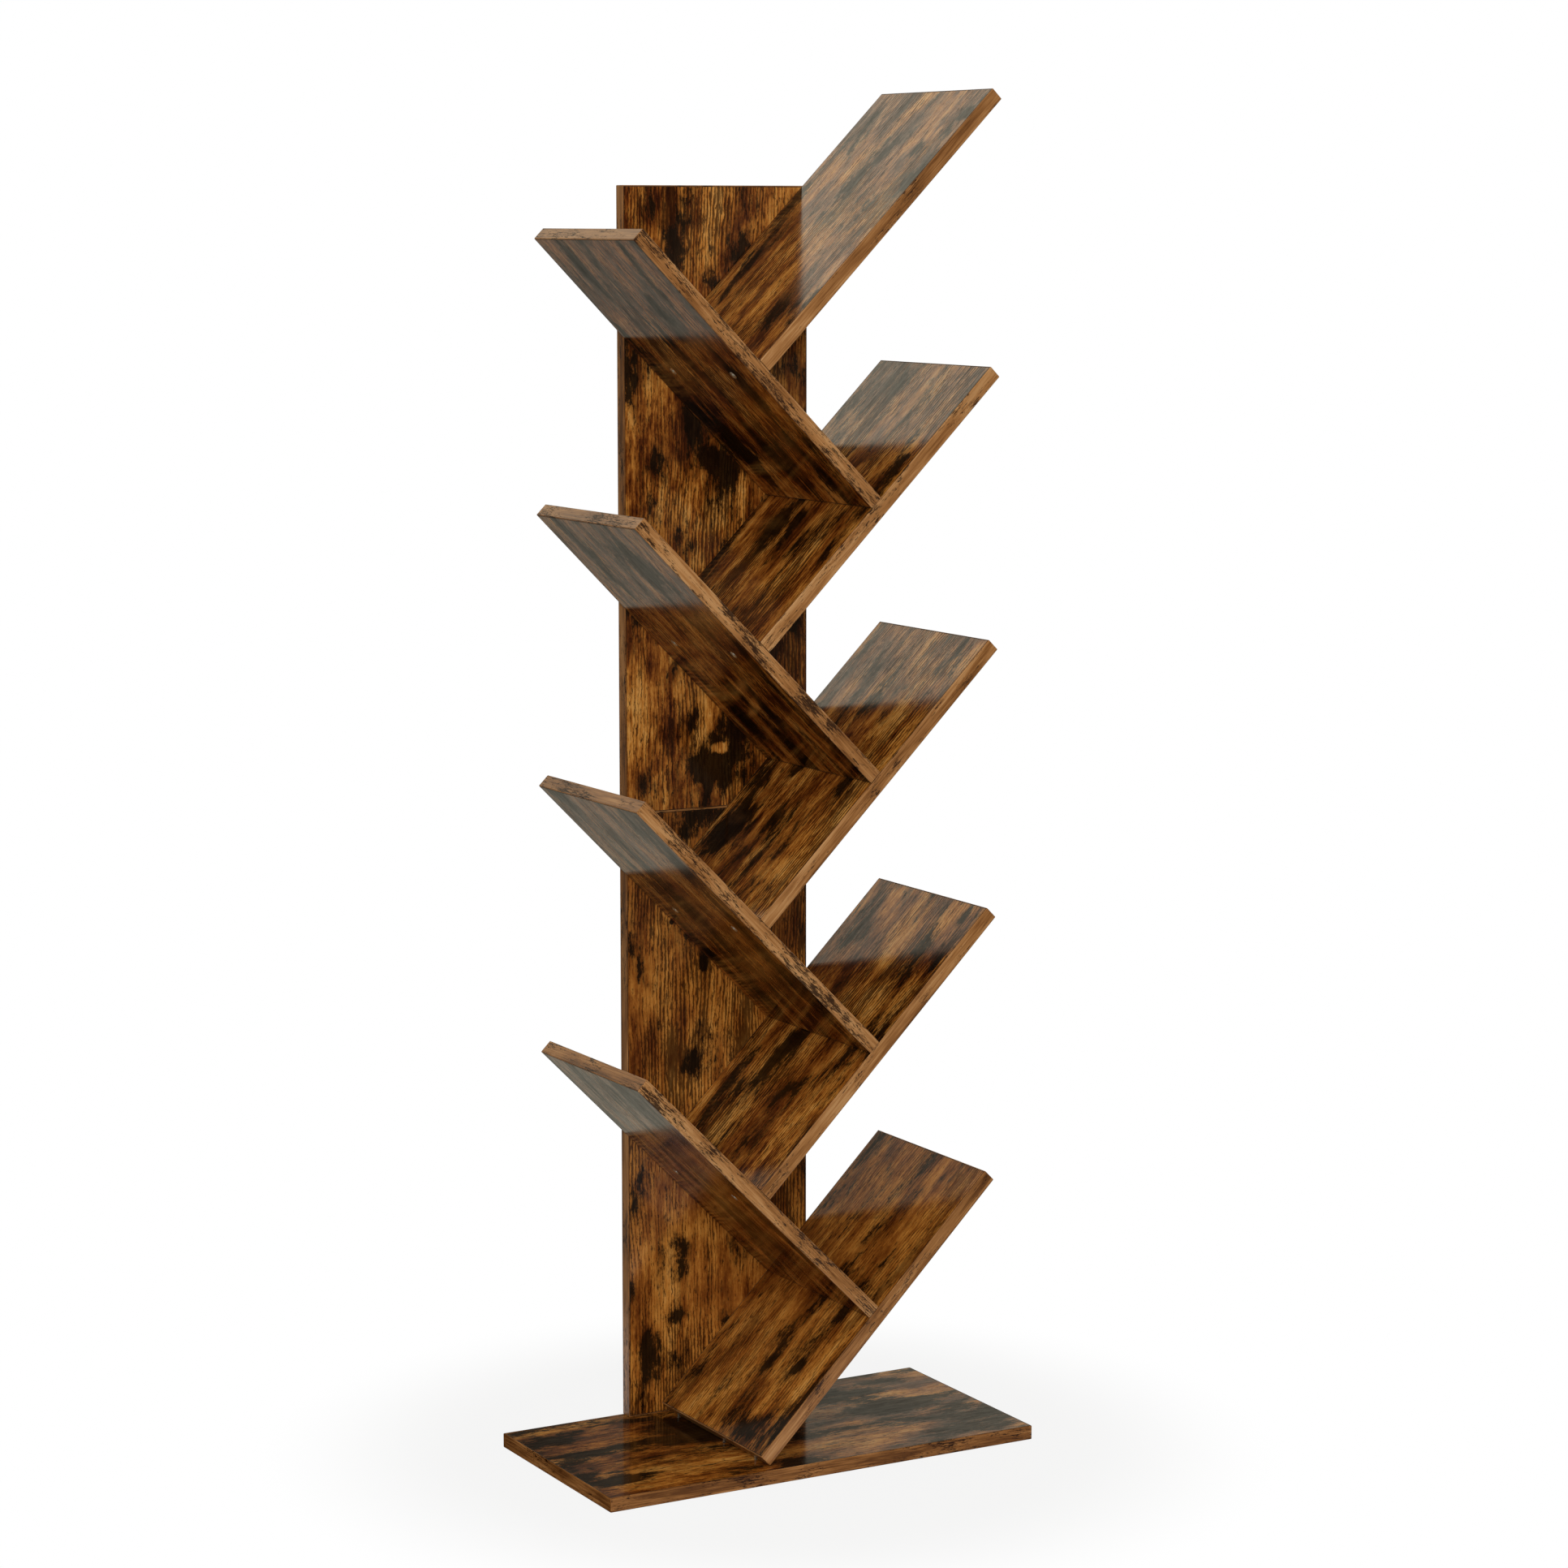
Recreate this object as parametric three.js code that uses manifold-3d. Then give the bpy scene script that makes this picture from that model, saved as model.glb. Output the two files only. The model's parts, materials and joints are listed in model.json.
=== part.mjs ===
// A tree shaped bookshelf: flat boards of one thickness, stacked as branches up a narrow back panel.
// Right-leaning and left-leaning shelves alternate. Each shelf ends square on the middle of the next
// one down, held there by two screws. The back panel is screwed to every shelf and to the base.
// Millimetres, +X right, +Y back, +Z up, with the origin under the middle of the base.

import * as THREE from 'three';
import { mergeVertices } from 'three/addons/utils/BufferGeometryUtils.js';
import Module from 'manifold-3d';

const wasm = await Module();
wasm.setup();

// Boards
const boardThickness = 15;
const edgeArris = 0.5;
const baseLength = 500;
const baseDepth = 250;
const shelfLength = 380;
const shelfFrontSetback = 15;
const rightShelfCount = 5;
const panelWidth = 217;
const panelTopMargin = 38;

// Gap between seated pieces, and the overrun of a cut past the face that it opens
const seatGap = 0.3;
const cutOverrun = 2;

// Connector screws: a countersunk cross-recess head, set a little below the face, on a pointed shank
const screwLength = 40;
const screwShankDiameter = 5;
const screwHeadDiameter = 8.6;
const screwTipLength = 5;
const headRim = 0.5;
const headSetback = 0.4;
const recessSpan = 5;
const recessWidth = 1.2;
const recessDepth = 1.8;

// Where the connector screws stand
const jointScrewInset = 46;
const panelScrewSideInset = 24;
const panelScrewEndInset = 50;
const baseScrewInset = 44.5;

// Thinner screws that rise through the base into the foot of the lowest shelf
const footScrewShankDiameter = 3.6;
const footScrewHeadDiameter = 7;
const footScrewTipLength = 3.5;
const footScrewSetback = 3.3;
const footScrewInset = 25;
const footScrewForward = 17;
const footScrewCover = 3;

// Grooved wooden dowels in the joint between the two back panels
const dowelDiameter = 8;
const dowelLength = 30;
const dowelChamfer = 0.8;
const dowelGrooveDepth = 0.4;
const dowelGrooveCount = 10;
const dowelInset = 44.5;

const roundSides = 12;
const quarterTurn = Math.PI / 2;

// Square ends meet square faces, so both rows of shelves lean by half a quarter turn. Each joint
// lies at the middle of a shelf, which sets how far the joints step sideways and down.
const lean = quarterTurn / 2;
const slope = Math.SQRT1_2;
const shelfCount = 2 * rightShelfCount - 1;
const jointOffset = (shelfLength - boardThickness) * slope / 4;
const jointDrop = (shelfLength + boardThickness) * slope / 2;

// The lowest shelf stands on the lower edge of its square end, and the stack rises from there.
const footReach = (shelfLength / 2 - seatGap + boardThickness - edgeArris) * slope;
const lowestJoint = boardThickness + seatGap + footReach;
const highestJoint = lowestJoint + (shelfCount - 1) * jointDrop;
const panelHeight = (highestJoint + panelTopMargin - boardThickness) / 2;
const panelSeam = boardThickness + panelHeight;
const panelFront = baseDepth / 2 - boardThickness;
const panelMiddle = baseDepth / 2 - boardThickness / 2;
const shelfDepth = baseDepth - boardThickness - shelfFrontSetback;
const shelfMiddle = panelFront - shelfDepth / 2;

// A foot screw stands just beside that lower edge, crosses the wedge gap under the square end and
// stops short of the shelf's top face.
const footEdge = jointOffset - (shelfLength / 2 - seatGap - boardThickness) * slope;
const footScrewOffset = footEdge - footScrewSetback;
const footScrewRoof = lowestJoint + footScrewOffset - footScrewShankDiameter / 2 - jointOffset;

const connectorScrew = {
  length: screwLength,
  shankDiameter: screwShankDiameter,
  headDiameter: screwHeadDiameter,
  tipLength: screwTipLength,
};
const footScrew = {
  length: footScrewRoof - footScrewCover - headSetback,
  shankDiameter: footScrewShankDiameter,
  headDiameter: footScrewHeadDiameter,
  tipLength: footScrewTipLength,
};

function laminate() {
  return new THREE.MeshStandardMaterial({ color: 0x7a4d2b, roughness: 0.45, metalness: 0 });
}

function zincPlate() {
  return new THREE.MeshStandardMaterial({ color: 0xb9b7b2, roughness: 0.3, metalness: 1 });
}

function beech() {
  return new THREE.MeshStandardMaterial({ color: 0xcfa878, roughness: 0.75, metalness: 0 });
}

function solidOf(geometry) {
  const bare = geometry.clone();
  bare.deleteAttribute('normal');
  bare.deleteAttribute('uv');
  const merged = mergeVertices(bare);
  return new wasm.Manifold(new wasm.Mesh({
    numProp: 3,
    vertProperties: new Float32Array(merged.attributes.position.array),
    triVerts: new Uint32Array(merged.index.array),
  }));
}

function geometryOf(solid) {
  const mesh = solid.getMesh();
  const geometry = new THREE.BufferGeometry();
  geometry.setAttribute('position', new THREE.BufferAttribute(mesh.vertProperties, mesh.numProp));
  geometry.setIndex(new THREE.BufferAttribute(mesh.triVerts, 1));
  geometry.computeVertexNormals();
  return geometry;
}

function cut(geometry, cutters) {
  let solid = solidOf(geometry);
  for (const cutter of cutters) {
    solid = solid.subtract(solidOf(cutter));
  }
  return geometryOf(solid);
}

// A board sawn from sheet stock, with a small arris along every edge. It is centred on X and Y, and
// its top face lies at zero.
function boardGeometry(length, depth) {
  const end = length / 2;
  const outline = new THREE.Shape();
  outline.moveTo(edgeArris - end, -boardThickness);
  outline.lineTo(end - edgeArris, -boardThickness);
  outline.lineTo(end, edgeArris - boardThickness);
  outline.lineTo(end, -edgeArris);
  outline.lineTo(end - edgeArris, 0);
  outline.lineTo(edgeArris - end, 0);
  outline.lineTo(-end, -edgeArris);
  outline.lineTo(-end, edgeArris - boardThickness);
  outline.closePath();
  const geometry = new THREE.ExtrudeGeometry(outline, {
    depth: depth - 2 * edgeArris,
    bevelSegments: 1,
    bevelThickness: edgeArris,
    bevelSize: edgeArris,
    bevelOffset: -edgeArris,
  });
  return geometry.translate(0, 0, edgeArris - depth / 2).rotateX(quarterTurn);
}

// A round solid about Z. Each point of its profile is a radius and a depth along the axis.
function turned(profile) {
  const points = profile.map(([radius, depth]) => new THREE.Vector2(radius, depth));
  return new THREE.LatheGeometry(points, roundSides).rotateX(quarterTurn);
}

// A screw along +Z, whose head face lies at zero.
function screwGeometry(size) {
  const head = size.headDiameter / 2;
  const shank = size.shankDiameter / 2;
  const body = turned([
    [0, 0],
    [head, 0],
    [head, headRim],
    [shank, headRim + head - shank],
    [shank, size.length - size.tipLength],
    [0, size.length],
  ]);
  const slotDepth = recessDepth + cutOverrun;
  const slot = new THREE.BoxGeometry(recessSpan, recessWidth, slotDepth);
  slot.translate(0, 0, recessDepth - slotDepth / 2);
  return cut(body, [slot, slot.clone().rotateZ(quarterTurn)]);
}

// The bore for a screw: its own form, one gap wider all round, run out past the face over its head.
function screwBore(size) {
  const head = size.headDiameter / 2 + seatGap;
  const shank = size.shankDiameter / 2 + seatGap;
  return turned([
    [0, -headSetback - cutOverrun],
    [head, -headSetback - cutOverrun],
    [head, headRim],
    [shank, headRim + head - shank],
    [shank, size.length - size.tipLength],
    [0, size.length + seatGap],
  ]);
}

// A dowel along Z, grooved lengthwise so that glue and air can escape from its blind bores.
function dowelGeometry() {
  const crest = dowelDiameter / 2;
  const groove = crest - dowelGrooveDepth;
  const points = [];
  for (let step = 0; step < 2 * dowelGrooveCount; step += 1) {
    const radius = step % 2 === 0 ? crest : groove;
    const angle = 2 * quarterTurn * step / dowelGrooveCount;
    points.push(new THREE.Vector2(radius * Math.cos(angle), radius * Math.sin(angle)));
  }
  const geometry = new THREE.ExtrudeGeometry(new THREE.Shape(points), {
    depth: dowelLength - 2 * dowelChamfer,
    bevelSegments: 1,
    bevelThickness: dowelChamfer,
    bevelSize: dowelChamfer,
    bevelOffset: -dowelChamfer,
  });
  return geometry.translate(0, 0, dowelChamfer - dowelLength / 2);
}

function dowelBore() {
  const radius = dowelDiameter / 2 + seatGap;
  const end = dowelLength / 2 + seatGap;
  return turned([
    [0, -end],
    [radius, -end],
    [radius, end],
    [0, end],
  ]);
}

function piece(name, geometry, material) {
  const mesh = new THREE.Mesh(geometry, material);
  mesh.name = name;
  return mesh;
}

// Three kinds of fastener, each with its bore. What a fastener holds together is kept with it, and
// the bores are cut once every piece is in its place.
const connector = { geometry: screwGeometry(connectorScrew), bore: screwBore(connectorScrew) };
const footFastener = { geometry: screwGeometry(footScrew), bore: screwBore(footScrew) };
const dowelFastener = { geometry: dowelGeometry(), bore: dowelBore() };
const fastenings = [];

function fasten(name, kind, material, boards) {
  const fastener = piece(name, kind.geometry, material);
  fastenings.push({ fastener, bore: kind.bore, boards });
  return fastener;
}

function cutBores(board) {
  const toBoard = board.matrixWorld.clone().invert();
  const bores = fastenings
    .filter((fastening) => fastening.boards.includes(board))
    .map(({ fastener, bore }) => {
      const place = toBoard.clone().multiply(fastener.matrixWorld);
      return bore.clone().applyMatrix4(place);
    });
  board.geometry = cut(board.geometry, bores);
}

function makeBase() {
  const base = piece('base_board', boardGeometry(baseLength, baseDepth), laminate());
  base.position.z = boardThickness;
  return base;
}

// The back panel is two boards, one above the other, which stand flush with the base's back edge.
function makePanels() {
  const upright = boardGeometry(panelHeight, panelWidth);
  upright.rotateY(-quarterTurn).rotateZ(quarterTurn);
  return ['lower', 'upper'].map((level, order) => {
    const panel = piece(`${level}_back_panel`, upright, laminate());
    panel.position.set(0, panelFront, boardThickness + (order + 0.5) * panelHeight);
    return panel;
  });
}

function makePanelDowels(panels) {
  const reach = panelWidth / 2 - dowelInset;
  const places = { left: -reach, middle: 0, right: reach };
  return Object.entries(places).map(([where, x]) => {
    const dowel = fasten(`panel_dowel_${where}`, dowelFastener, beech(), panels);
    dowel.position.set(x, panelMiddle, panelSeam);
    return dowel;
  });
}

function makeBaseScrews(base, lowerPanel) {
  const reach = panelWidth / 2 - baseScrewInset;
  const places = { left: -reach, middle: 0, right: reach };
  return Object.entries(places).map(([where, x]) => {
    const screw = fasten(`base_panel_screw_${where}`, connector, zincPlate(), [base, lowerPanel]);
    screw.position.set(x, panelMiddle, headSetback);
    return screw;
  });
}

function makeFootScrews(base, lowestShelf) {
  const reach = shelfDepth / 2 - footScrewInset;
  const places = { rear: reach, middle: -footScrewForward, front: -reach };
  return Object.entries(places).map(([where, y]) => {
    const screw = fasten(`foot_screw_${where}`, footFastener, zincPlate(), [base, lowestShelf]);
    screw.position.set(footScrewOffset, shelfMiddle + y, headSetback);
    return screw;
  });
}

// One shelf and the screws that pass into or through it, in a frame that leans with the shelf. Its
// joint is the origin, its length lies along X and its top face at zero. A left-leaning shelf turns
// its +X end down, a right-leaning one its -X end. The foot is cut one gap short of what it meets.
function makeShelf(index, shelfAbove, panels) {
  const side = index % 2 === 0 ? 1 : -1;
  const row = side > 0 ? 'right' : 'left';
  const name = `${row}_shelf_${Math.floor(index / 2) + 1}`;
  const group = new THREE.Group();
  group.position.set(side * jointOffset, shelfMiddle, highestJoint - index * jointDrop);
  group.rotation.y = -side * lean;

  const outline = boardGeometry(shelfLength - seatGap, shelfDepth);
  const shelf = piece(name, outline.translate(side * seatGap / 2, 0, 0), laminate());
  group.add(shelf);

  if (shelfAbove) {
    const reach = shelfDepth / 2 - jointScrewInset;
    for (const [where, y] of Object.entries({ rear: reach, front: -reach })) {
      const held = [shelf, shelfAbove];
      const screw = fasten(`${name}_joint_screw_${where}`, connector, zincPlate(), held);
      screw.position.set(0, y, headSetback - boardThickness);
      group.add(screw);
    }
  }

  const upper = (panelWidth / 2 - panelScrewSideInset - jointOffset) / slope - boardThickness / 2;
  const lower = panelScrewEndInset - shelfLength / 2;
  for (const [where, along] of Object.entries({ upper, lower })) {
    const held = [shelf, ...panels];
    const screw = fasten(`${name}_panel_screw_${where}`, connector, zincPlate(), held);
    const back = shelfDepth / 2 + boardThickness - headSetback;
    screw.position.set(side * along, back, -boardThickness / 2);
    screw.rotation.x = quarterTurn;
    group.add(screw);
  }
  return { group, shelf };
}

const bookshelf = new THREE.Group();
const base = makeBase();
const panels = makePanels();
const boards = [base, ...panels];
bookshelf.add(base, ...panels, ...makePanelDowels(panels), ...makeBaseScrews(base, panels[0]));

let lowestShelf = null;
for (let index = 0; index < shelfCount; index += 1) {
  const { group, shelf } = makeShelf(index, lowestShelf, panels);
  bookshelf.add(group);
  boards.push(shelf);
  lowestShelf = shelf;
}
bookshelf.add(...makeFootScrews(base, lowestShelf));

bookshelf.updateMatrixWorld(true);
for (const board of boards) {
  cutBores(board);
}

export default bookshelf;
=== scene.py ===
import json
import math

import bpy
from mathutils import Matrix, Vector

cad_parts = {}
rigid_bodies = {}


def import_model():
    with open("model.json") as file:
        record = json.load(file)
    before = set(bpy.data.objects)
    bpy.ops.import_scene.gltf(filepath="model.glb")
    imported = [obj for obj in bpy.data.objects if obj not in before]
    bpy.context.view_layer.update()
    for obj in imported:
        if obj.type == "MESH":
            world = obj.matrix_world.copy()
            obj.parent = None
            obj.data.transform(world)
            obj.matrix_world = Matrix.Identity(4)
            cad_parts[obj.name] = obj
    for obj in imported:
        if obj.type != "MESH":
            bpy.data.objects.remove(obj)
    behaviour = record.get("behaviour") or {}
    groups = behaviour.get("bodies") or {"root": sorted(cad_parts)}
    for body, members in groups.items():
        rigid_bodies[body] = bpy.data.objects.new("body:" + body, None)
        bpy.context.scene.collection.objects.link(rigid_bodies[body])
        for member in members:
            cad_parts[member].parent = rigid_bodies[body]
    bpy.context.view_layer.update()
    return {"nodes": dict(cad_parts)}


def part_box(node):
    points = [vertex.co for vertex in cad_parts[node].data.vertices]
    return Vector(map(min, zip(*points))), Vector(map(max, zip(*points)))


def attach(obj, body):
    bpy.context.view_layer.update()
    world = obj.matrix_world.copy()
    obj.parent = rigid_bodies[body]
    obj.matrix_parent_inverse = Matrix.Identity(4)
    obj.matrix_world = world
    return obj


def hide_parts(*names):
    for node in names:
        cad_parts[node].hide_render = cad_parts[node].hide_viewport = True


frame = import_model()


# Base board: a flat rectangle of particle board, faced on both sides with a printed wood grain and
# banded along its four edges. It lies on the floor. Screws pass up through it from below, into the
# back panel and into the foot of the lowest shelf.

BOARD_THICKNESS = 0.015
BASE_LENGTH, BASE_DEPTH = 0.500, 0.250
ARRIS = 0.0009
SEAM_WIDTH, SEAM_DEPTH = 0.0007, 0.00012
FACE, SEAM, LONG_BAND, END_BAND, CORE = range(5)
FACET_ANGLE = math.radians(12)
SQUARE_ON = 0.999

FILM_ROUGHNESS = 0.12
PRINT_ROUGHNESS, PRINT_RELIEF = 0.42, 0.00003
PRINT_STEP = (3.17, 1.71, 2.31)
RING_PITCH = 0.0040
HEART_SIDE, HEART_DEPTH, HEART_SLOPE = 0.4, 0.05, 0.05
SWAY = 0.05
LINE_RISE, FLECK_RISE = (2.95, 3.40), (0.735, 0.805)
LINE_COVER, FLECK_COVER = 0.82, 0.85
BROWN_RISE, BLACK_RISE, SCORCH_FADE = (0.64, 0.76), (0.72, 0.78), (0.2, 1.6)
BROWN_COVER, BLACK_COVER = 0.66, 0.92
WOOD_SHADES = [
    (0.00, (0.028, 0.005, 0.001)),
    (0.25, (0.100, 0.023, 0.003)),
    (0.50, (0.250, 0.079, 0.011)),
    (0.75, (0.440, 0.174, 0.030)),
    (1.00, (0.550, 0.260, 0.062)),
]
LATE_WOOD = (0.012, 0.003, 0.001)
SINGED = (0.026, 0.006, 0.001)
CHAR = (0.004, 0.002, 0.001)

BAND_ROUGHNESS, BAND_RELIEF = 0.30, 0.00004
BAND_STEP = (2.13, 1.37, 4.19)
VEIN_WIDTH = 0.08
NICK_START, NICK_BLUR, NICK_COVER = 1.50, 0.06, 0.93
BAND_SHADES = [
    (0.10, (0.095, 0.034, 0.009)),
    (0.40, (0.215, 0.088, 0.026)),
    (0.70, (0.330, 0.150, 0.051)),
    (0.95, (0.430, 0.225, 0.092)),
]


class Wire:
    """An output socket of a shader's node. Arithmetic between wires and numbers adds Math nodes."""

    def __init__(self, tree, socket=None):
        self.tree = tree
        self.socket = socket

    def node(self, kind, settings, sockets, output=None):
        """Adds a node, sets it, and fills its sockets with values or with links to other wires."""
        made = self.tree.nodes.new("ShaderNode" + kind)
        for name, value in settings.items():
            if name == "stops":
                ramp = made.color_ramp.elements
                while len(ramp) < len(value):
                    ramp.new(1)
                for stop, (place, colour) in zip(ramp, value):
                    stop.position = place
                    stop.color = (*colour, 1)
            else:
                setattr(made, name, value)
        inputs = {socket.identifier: socket for socket in made.inputs}
        for name, value in sockets.items():
            if isinstance(value, Wire):
                self.tree.links.new(value.socket, inputs[name])
            else:
                inputs[name].default_value = value
        outputs = {socket.identifier: socket for socket in made.outputs}
        return Wire(self.tree, outputs.get(output))

    def math(self, operation, first, second=0.0):
        sockets = {"Value": first, "Value_001": second}
        return self.node("Math", {"operation": operation}, sockets, "Value")

    def __add__(self, other):
        return self.math("ADD", self, other)

    def __sub__(self, other):
        return self.math("SUBTRACT", self, other)

    def __rsub__(self, other):
        return self.math("SUBTRACT", other, self)

    def __mul__(self, other):
        return self.math("MULTIPLY", self, other)

    def __truediv__(self, other):
        return self.math("DIVIDE", self, other)

    def __pow__(self, other):
        return self.math("POWER", self, other)

    __radd__ = __add__
    __rmul__ = __mul__

    def larger(self, other):
        return self.math("MAXIMUM", self, other)

    def rise(self, low, high):
        """Nought below the low value, one above the high one, and a smooth rise between."""
        sockets = {"Value": self, "From Min": low, "From Max": high}
        return self.node("MapRange", {"interpolation_type": "SMOOTHSTEP"}, sockets, "Result")

    def stretched(self, scale, shift=(0, 0, 0)):
        sockets = {"Vector": self, "Vector_001": scale, "Vector_002": shift}
        return self.node("VectorMath", {"operation": "MULTIPLY_ADD"}, sockets, "Vector")

    def cloud(self, detail, roughness, distortion=0.0):
        sockets = {"Vector": self, "Scale": 1.0, "Detail": detail, "Roughness": roughness,
                   "Distortion": distortion}
        return self.node("TexNoise", {}, sockets, "Fac")

    def speck(self):
        sockets = {"Vector": self, "Scale": 1.0}
        return self.node("TexVoronoi", {}, sockets, "Distance")

    def axis(self, name):
        return self.node("SeparateXYZ", {}, {"Vector": self}, name)

    def ramp(self, stops):
        return self.node("ValToRGB", {"stops": stops}, {"Fac": self}, "Color")

    def tint(self, under, over):
        """The under colour where this wire is nought, and the over colour where it is one."""
        sockets = {"Factor_Float": self, "A_Color": under, "B_Color": over}
        return self.node("Mix", {"data_type": "RGBA"}, sockets, "Result_Color")


def opaque(colour):
    """A plain colour made solid. A colour that comes from a node is passed on as it is."""
    return (*colour, 1) if isinstance(colour, tuple) else colour


def new_finish(name, place=None):
    """A bare material and its Object coordinates, turned into the frame of the board it covers."""
    finish = bpy.data.materials.new(name)
    finish.use_nodes = True
    finish.node_tree.nodes.clear()
    point = Wire(finish.node_tree).node("TexCoord", {}, {}, "Object")
    if place is not None:
        sockets = {"Vector": point, "Location": place.translation, "Rotation": place.to_euler()}
        point = point.node("Mapping", {"vector_type": "TEXTURE"}, sockets, "Vector")
    return finish, point


def coat(point, colour, roughness, relief, relief_height, shine=0.5, metallic=0.0, film=0.0):
    """Joins a finish's colour, roughness, relief and clear film to its shader."""
    sockets = {"Base Color": opaque(colour), "Roughness": roughness, "Specular IOR Level": shine,
               "Metallic": metallic, "Coat Weight": film, "Coat Roughness": FILM_ROUGHNESS}
    bump = {"Height": relief, "Distance": relief_height, "Strength": 1.0}
    sockets["Normal"] = point.node("Bump", {}, bump, "Normal")
    shader = point.node("BsdfPrincipled", {}, sockets, "BSDF")
    point.node("OutputMaterial", {}, {"Surface": shader})


def add_scorches(burn, grain, scorches):
    """Raises the burn about the middle of each scorch, in an oval that fades out past its edge.

    A scorch is its place along and across the board, its half length and half width, its strength,
    which is below nought for a pale patch, and the face that it is on: 1 for the top, -1 for the
    underside.
    """
    for along, aside, half_length, half_width, strength, face in scorches:
        centre = {"Vector": grain, "Location": (along, aside, face * BOARD_THICKNESS / 2),
                  "Scale": (half_length, half_width, BOARD_THICKNESS / 2)}
        inside = grain.node("Mapping", {"vector_type": "TEXTURE"}, centre, "Vector")
        reach = inside.node("VectorMath", {"operation": "LENGTH"}, {"Vector": inside}, "Value")
        burn = burn + (1.0 - reach.rise(*SCORCH_FADE)) * strength
    return burn


def rustic_print(name, place, seed, scorches, lines=1.0, char=0.0, flow=1.5, bold=1.0,
                 shades=WOOD_SHADES):
    """The printed face: brown wood with dark growth lines, flecks and scorched patches.

    Lines is the strength of the growth lines. Char is how much is scorched beside the scorches
    that are given, and flow is how far that runs with the grain. Bold is the wood's contrast. A
    pattern's scale is per metre, along, across and through the board.
    """
    finish, grain = new_finish(name, place)
    shift = Vector([seed * step for step in PRINT_STEP])

    sway = grain.stretched((2.6, 7, 30), shift).cloud(2, 0.5) - 0.5
    across = grain.axis("Y") + sway * SWAY
    depth = grain.axis("X") * HEART_SLOPE + HEART_DEPTH
    radius = ((across - HEART_SIDE) ** 2 + depth ** 2) ** 0.5
    fibres = grain.stretched((17, 320, 60), shift).cloud(4, 0.7)
    ragged = grain.stretched((60, 240, 60), shift).cloud(5, 0.7)
    crackle = grain.stretched((150, 290, 60), shift).cloud(5, 0.75)
    rings = radius / RING_PITCH + ragged * 1.7 + fibres * 0.9
    line = (rings.math("PINGPONG", rings, 0.5) * 2) ** 2
    breaks = grain.stretched((13, 130, 60), shift).cloud(4, 0.7)
    boldness = grain.stretched((6, 22, 30), shift).cloud(4, 0.6)
    line = (line + breaks * 1.6 + boldness * 3.6).rise(*LINE_RISE)
    flecks = grain.stretched((85, 420, 60), shift).cloud(3, 0.6) + boldness * 0.3
    flecks = flecks.rise(*FLECK_RISE)

    tone = grain.stretched((12, 24, 40), shift).cloud(6, 0.66)
    streak = grain.stretched((6, 50, 60), shift).cloud(4, 0.65)
    shade = tone * 2.3 + streak * 1.3 + fibres * 1.1 + ragged * 1.1 + crackle * 0.6 - 3.2
    wood = (shade * bold + 0.54).ramp(shades)

    drift = shift + Vector((2, 9, 0))
    burn = grain.stretched((18 / flow, 14 * flow, 30), drift).cloud(8, 0.64, 0.3)
    burn = burn + ragged * 0.24 + crackle * 0.30 + breaks * 0.10 + fibres * 0.22 + (char - 0.28)
    burn = add_scorches(burn, grain, scorches)
    brown = burn.rise(*BROWN_RISE)
    black = burn.rise(*BLACK_RISE)

    dark = (line * LINE_COVER * lines).larger(flecks * FLECK_COVER)
    colour = dark.tint(wood, opaque(LATE_WOOD))
    colour = (brown * BROWN_COVER).tint(colour, opaque(SINGED))
    colour = (black * BLACK_COVER).tint(colour, opaque(CHAR))
    film = fibres * 0.9 + ragged * 0.9 - dark.larger(black) * 0.30 + 0.03
    coat(grain, colour, PRINT_ROUGHNESS, fibres * 0.5 - dark, PRINT_RELIEF, shine=0.0, film=film)
    return finish


def band_print(name, place, seed, turned=False, cracks=0.5, pale=0.0, shine=0.3):
    """The edge band's print: finer than the face, with short black cracks in clusters."""
    finish, grain = new_finish(name, place)
    if turned:
        quarter = {"Vector": grain, "Rotation": (0, 0, math.pi / 2)}
        grain = grain.node("Mapping", {}, quarter, "Vector")
    shift = Vector([seed * step for step in BAND_STEP])
    fibres = grain.stretched((22, 700, 700), shift).cloud(4, 0.65)
    tone = grain.stretched((9, 60, 60), shift).cloud(4, 0.6)
    wood = (tone * 1.8 + fibres * 1.5 + (pale - 1.15)).ramp(BAND_SHADES)
    cluster = grain.stretched((17, 50, 50), shift).cloud(5, 0.7)
    veins = grain.stretched((70, 480, 480), shift).cloud(3, 0.7, 0.5) - 0.5
    veins = 1.0 - veins.math("ABSOLUTE", veins).rise(0.0, VEIN_WIDTH)
    nicks = grain.stretched((85, 900, 900), shift).cloud(4, 0.65)
    nicks = nicks + veins * 0.16 + cluster * 1.4
    start = NICK_START - cracks * 0.22
    nicks = nicks.rise(start, start + NICK_BLUR)
    colour = (nicks * NICK_COVER).tint(wood, opaque(LATE_WOOD))
    roughness = BAND_ROUGHNESS + nicks * 0.15
    coat(grain, colour, roughness, fibres * 0.4 - nicks, BAND_RELIEF, shine=shine)
    return finish


def seam_finish(name, place):
    """The thin dark line of glue between a printed face and the band round it."""
    finish, grain = new_finish(name, place)
    depth = grain.stretched((60, 60, 60)).cloud(3, 0.6)
    colour = depth.ramp([(0.3, (0.006, 0.003, 0.002)), (0.7, (0.035, 0.016, 0.007))])
    coat(grain, colour, 0.55 + depth * 0.2, depth, 0.00005)
    return finish


def core_finish(name):
    """Raw particle board, as it shows inside a bore: pale chips pressed together."""
    finish, grain = new_finish(name)
    chips = grain.stretched((600, 600, 600)).speck()
    colour = chips.ramp([(0.1, (0.30, 0.19, 0.10)), (0.8, (0.12, 0.07, 0.035))])
    coat(grain, colour, 0.85 + chips * 0.1, chips, 0.0003)
    return finish


raw_chips = core_finish("raw_particle_board")
boards = {}


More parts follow.
